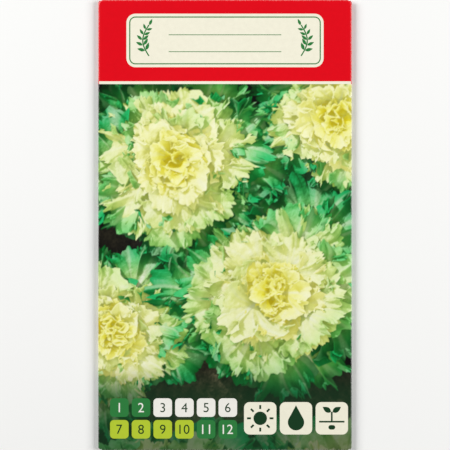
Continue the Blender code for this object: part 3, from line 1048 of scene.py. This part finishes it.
print_film("sown_seed", cream_ink, [sown_seed], THIRD_INK, back_of_sheet)

# The sachet, which the closed envelope hides. Two webs of aluminium foil and plastic laminate are pressed
# together round the seeds by heated jaws, which leave fine ribs in the seal along all four sides.

CAD_FOIL = 0.2 * MM
FOIL = 0.1 * MM
PIECE_GAP = 0.34 * MM
SEAL_GAP = 0.02 * MM
SEAL_WIDTH = 6 * MM
SEAL_CELLS = 24
SACHET_CELL = 0.9 * MM
RIB_PITCH = 1.5 * MM
RIB_HEIGHT = 0.05 * MM
CREASE_HEIGHT = 0.12 * MM
CREASE_LENGTH = 6 * MM
DIMPLE = 1.2 * MM
HAZE = 6 * MM
SEEDS_DEPTH = 2.1 * MM
SEEDS_HALF_WIDTH = 21.5 * MM
SEEDS_HALF_LENGTH = 30 * MM
DOME_POWER = 2.6


def sealed(x, y):
    """How far into the seal a place is, from 0 to 1, and its distance from the sachet's edge."""
    off_side = SACHET_HALF_WIDTH - np.abs(x)
    off_end = SACHET_HALF_LENGTH - np.abs(y - BELLY_Y)
    from_edge = np.minimum(off_side, off_end)
    return ease((SEAL_WIDTH - from_edge) / MM), from_edge


def seed_dome(x, y):
    """1 over the middle of the seeds, falling to 0 at the seals."""
    across = (np.abs(x) / SEEDS_HALF_WIDTH) ** DOME_POWER
    along = (np.abs(y - BELLY_Y) / SEEDS_HALF_LENGTH) ** DOME_POWER
    return np.maximum(0, 1 - across - along)


def web_levels(x, y):
    """Heights of the middle of the rear web and of the front one."""
    belly = BELLY_DEPTH * bulge(x, y, BELLY_HALF_WIDTH, BELLY_HALF_LENGTH)
    back = BACK_EDGE_LEVEL - belly + 1.5 * CAD_PAPER + GLUE_GAP + PIECE_GAP + CAD_FOIL / 2
    front = back + CAD_FOIL + PIECE_GAP + (SEEDS_DEPTH + PIECE_GAP) * seed_dome(x, y)
    share, from_edge = sealed(x, y)
    closing = (CAD_FOIL + PIECE_GAP - FOIL - SEAL_GAP) / 2 * share
    ribs = RIB_HEIGHT * np.cos(math.tau * from_edge / RIB_PITCH) * share
    creases = CREASE_HEIGHT * (cloud(x / CREASE_LENGTH, y / CREASE_LENGTH, 3) - 0.5) * (1 - share)
    return back + closing + ribs, front - closing + ribs + creases


def foil_laminate(name):
    """Rolled foil under a clear film: a satin mirror, with the fine dimples of its embossing."""
    material, tree, shader = new_material(name)
    place = add_node(tree, "TexCoord").outputs["Object"]
    dimples = add_node(tree, "TexVoronoi", {"Vector": place, "Scale": 1 / DIMPLE})
    bump = add_node(
        tree, "Bump", {"Height": dimples.outputs["Distance"], "Strength": 0.4, "Distance": 0.05 * MM}
    )
    haze = add_node(tree, "TexNoise", {"Vector": place, "Scale": 1 / HAZE, "Detail": 3.0})
    dull = add_node(tree, "MapRange", {"Value": haze.outputs["Fac"], "To Min": 0.24, "To Max": 0.42})
    set_inputs(shader, {"Base Color": "#D9DADB", "Metallic": 1})
    set_inputs(shader, {"Normal": bump.outputs[0], "Roughness": dull.outputs[0]})
    return material


def web_stations(half_size):
    """Stations across a web or along it, closer together in its seals."""
    inside = half_size - SEAL_WIDTH
    return both_sides(stations(0, inside, cell=SACHET_CELL) + spread(inside, half_size, SEAL_CELLS)[1:])


sachet_foil = foil_laminate("aluminium_foil_laminate")
web_xs = web_stations(SACHET_HALF_WIDTH)
web_x, web_y = np.meshgrid(web_xs, web_stations(SACHET_HALF_LENGTH) + BELLY_Y, indexing="ij")
for node, level in zip(("sachet_back", "sachet_front"), web_levels(web_x, web_y)):
    points = np.stack((web_x, web_y, level), -1).reshape(-1, 3)
    mesh = new_mesh(node + "_web", points, grid_faces(web_x.shape), [sachet_foil])
    web = add_piece(node + "_web", mesh)
    thicken(web, FOIL)
    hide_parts(node)

# The seeds, loose in the sachet and two deep: dry, ribbed grains, narrow at the foot and blunt at the crown,
# each of its own dull brown. They are set out by a seeded rule, with their weight on the rear web.

SEED_LENGTH = 2.7 * MM
SEED_WIDTH = 0.9 * MM
SEED_FLATNESS = 0.75
SEED_SIDES = 10
SEED_RIB = 0.12
SEED_FOOT = (-0.5, 0.10), (-0.44, 0.24), (-0.15, 0.38)
SEED_CROWN = (0.15, 0.48), (0.38, 0.50), (0.47, 0.42), (0.5, 0.25)
SEED_SPACING = 1.9 * MM
SEED_JITTER = 0.6 * MM
SEED_LAYERS = 2
SEED_REACH = 0.88
HUSK_GRAIN = 0.25 * MM


def seed_shape():
    """One seed's points, ring by ring about its middle, and its faces.

    Its foot and crown give each ring's place and half-width, as shares of the seed's length and width.
    """
    angles = np.arange(SEED_SIDES) * math.tau / SEED_SIDES
    ribbed = 1 - SEED_RIB * (np.arange(SEED_SIDES) % 2)
    rings = []
    for along, radius in SEED_FOOT + SEED_CROWN:
        y = radius * SEED_WIDTH * ribbed * np.cos(angles)
        z = radius * SEED_WIDTH * ribbed * np.sin(angles) * SEED_FLATNESS
        rings.append(np.stack((np.full(SEED_SIDES, along * SEED_LENGTH), y, z), -1))
    sides = list(range(SEED_SIDES))
    faces = [sides[::-1], [k + SEED_SIDES * (len(rings) - 1) for k in sides]]
    for first in range(0, SEED_SIDES * (len(rings) - 1), SEED_SIDES):
        second = first + SEED_SIDES
        faces += [[first + k, first + n, second + n, second + k] for k, n in zip(sides, sides[1:] + [0])]
    return np.concatenate(rings), faces


def seed_husk(name):
    """Dry seed coats: matt and ribbed, and each of a slightly different brown."""
    material, tree, shader = new_material(name)
    place = add_node(tree, "TexCoord").outputs["Object"]
    each = add_node(tree, "Attribute", attribute_name="tint")
    brown = add_node(tree, "Mix", {0: each.outputs["Fac"], 6: "#75593A", 7: "#BFA477"}, data_type="RGBA")
    grain = add_node(tree, "TexNoise", {"Vector": place, "Scale": 1 / HUSK_GRAIN, "Detail": 3.0})
    bump = add_node(tree, "Bump", {"Height": grain.outputs["Fac"], "Strength": 0.5, "Distance": 0.05 * MM})
    set_inputs(shader, {"Base Color": brown.outputs[2], "Normal": bump.outputs[0], "Roughness": 0.75})
    return material


def seed_places():
    """Where the middle of each seed is that the sachet has room for, with its heading and its tint."""
    draw = np.random.default_rng(11)
    thick = SEED_WIDTH * SEED_FLATNESS
    both_ends = np.array((-SEED_LENGTH / 2, 0, SEED_LENGTH / 2))
    half_rows = int(SEEDS_HALF_LENGTH / SEED_SPACING)
    half_columns = int(SEEDS_HALF_WIDTH / SEED_SPACING)
    for row in range(-half_rows, half_rows + 1):
        for column in range(-half_columns, half_columns + 1):
            for layer in range(SEED_LAYERS):
                x = (column + 0.5 * (row % 2)) * SEED_SPACING + draw.uniform(-SEED_JITTER, SEED_JITTER)
                y = BELLY_Y + row * SEED_SPACING + draw.uniform(-SEED_JITTER, SEED_JITTER)
                heading, tint = draw.uniform(0, math.tau), draw.uniform()
                back, front = web_levels(x + both_ends * math.cos(heading), y + both_ends * math.sin(heading))
                z = back.max() + FOIL / 2 + thick * (0.6 + 0.85 * layer)
                too_far = math.hypot(x / SEEDS_HALF_WIDTH, (y - BELLY_Y) / SEEDS_HALF_LENGTH) > SEED_REACH
                if not too_far and z + 0.7 * thick <= front.min() - FOIL / 2:
                    yield (x, y, z), heading, tint


def make_seeds():
    """All the seeds in one mesh, which carries their tints."""
    shape, shape_faces = seed_shape()
    points, faces, tints = [], [], []
    for place, heading, tint in seed_places():
        cosine, sine = math.cos(heading), math.sin(heading)
        faces += [[k + len(points) * len(shape) for k in face] for face in shape_faces]
        points.append(shape @ np.array(((cosine, sine, 0), (-sine, cosine, 0), (0, 0, 1))) + place)
        tints += [tint] * len(shape)
    mesh = new_mesh("loose_seeds", np.concatenate(points), faces, [seed_husk("dry_seed_husk")])
    mesh.attributes.new("tint", "FLOAT", "POINT").data.foreach_set("value", tints)
    piece = add_piece("loose_seeds", mesh)
    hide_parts("seeds")


make_seeds()

# The studio: a pale table, a camera straight above the packet, and two soft boxes low at the sides, so that
# the varnish mirrors the dim ceiling and not a lamp.

FLOOR_SIZE = 3.0
SEEN_HEIGHT = 159.7 * MM
CAMERA_LENS = 200
SENSOR = 36
SOFT_BOX_SIZE = 0.6
CEILING_LIGHT = 0.06

# Matt painted board: nothing shows on it but the packet's soft shadow.
board, _, board_shader = new_material("matt_white_board")
set_inputs(board_shader, {"Base Color": "#FAFAF8", "Roughness": 0.9})
corners = [(x, y, 0) for x, y in plate(0, 0, FLOOR_SIZE, FLOOR_SIZE)]
floor = add_object("floor", new_mesh("floor", corners, [(0, 1, 2, 3)], [board]))

camera = add_object("camera", bpy.data.cameras.new("camera"))
camera.data.lens = CAMERA_LENS
camera.data.sensor_width = SENSOR
camera.location = (0, 0, FRONT_EDGE_LEVEL + SEEN_HEIGHT * CAMERA_LENS / SENSOR)
bpy.context.scene.camera = camera


def soft_box(name, place, power):
    """A square area light that faces the packet."""
    lamp = add_object(name, bpy.data.lights.new(name, "AREA"))
    lamp.data.shape = "SQUARE"
    lamp.data.size = SOFT_BOX_SIZE
    lamp.data.energy = power
    lamp.location = place
    lamp.rotation_euler = Vector(place).to_track_quat("Z", "Y").to_euler()


soft_box("soft_box_left", (-0.80, 0.40, 0.62), 10.8)
soft_box("soft_box_right", (0.85, 0.10, 0.62), 9.0)

ceiling = bpy.data.worlds.new("ceiling")
ceiling.use_nodes = True
set_inputs(ceiling.node_tree.nodes["Background"], {"Color": "#FFFFFF", "Strength": CEILING_LIGHT})
bpy.context.scene.world = ceiling
bpy.context.scene.view_settings.view_transform = "Standard"
